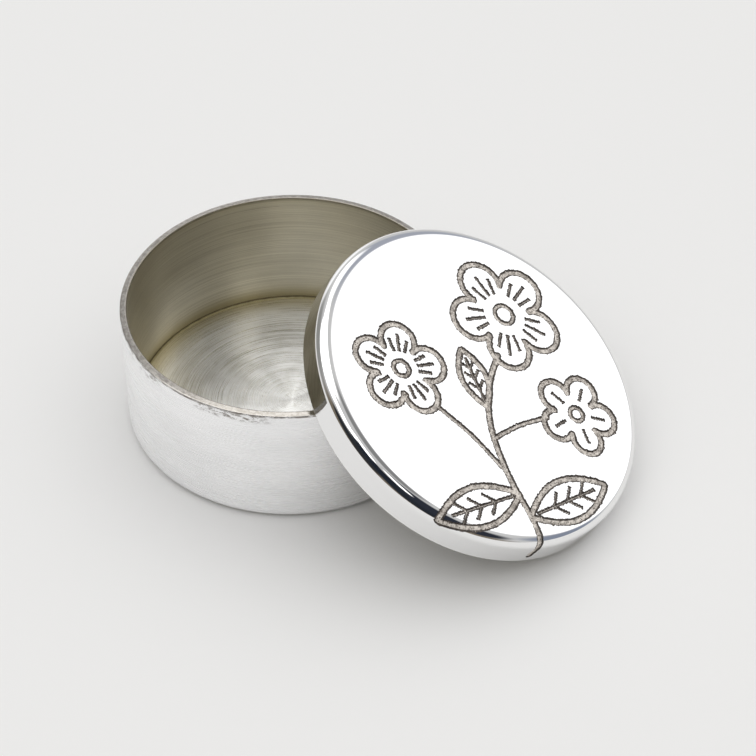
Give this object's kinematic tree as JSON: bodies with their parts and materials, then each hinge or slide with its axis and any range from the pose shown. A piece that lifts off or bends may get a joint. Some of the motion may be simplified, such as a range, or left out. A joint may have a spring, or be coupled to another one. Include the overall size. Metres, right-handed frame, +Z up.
{
  "type": "pill box",
  "caption": "Round metal pill box with an open brushed base and a polished, engraved lift-off lid leaning on its rim.",
  "frame": {"origin": "centre of the base's flat underside, on the table", "axes": "+Z up along the base's axis, +X towards the low edge of the leaning lid"},
  "size_m": [0.06, 0.0403, 0.0235],
  "materials": {
    "satin_metal": "fine circular brushing, satin",
    "polished_metal": "mirror polish with matt engraved lines",
    "solder": "dull grey solder"
  },
  "bodies": {
    "base": {"base_wall": "satin_metal", "base_floor": "satin_metal", "base_solder": "solder"},
    "lid": {"lid_skirt": "polished_metal", "lid_top": "polished_metal", "lid_solder": "solder"}
  },
  "joints": [
    {"name": "lid_lift", "type": "slide", "parent": "base", "child": "lid", "axis": [0.506, 0, 0.8625], "range_m": [0, 0.03]}
  ]
}
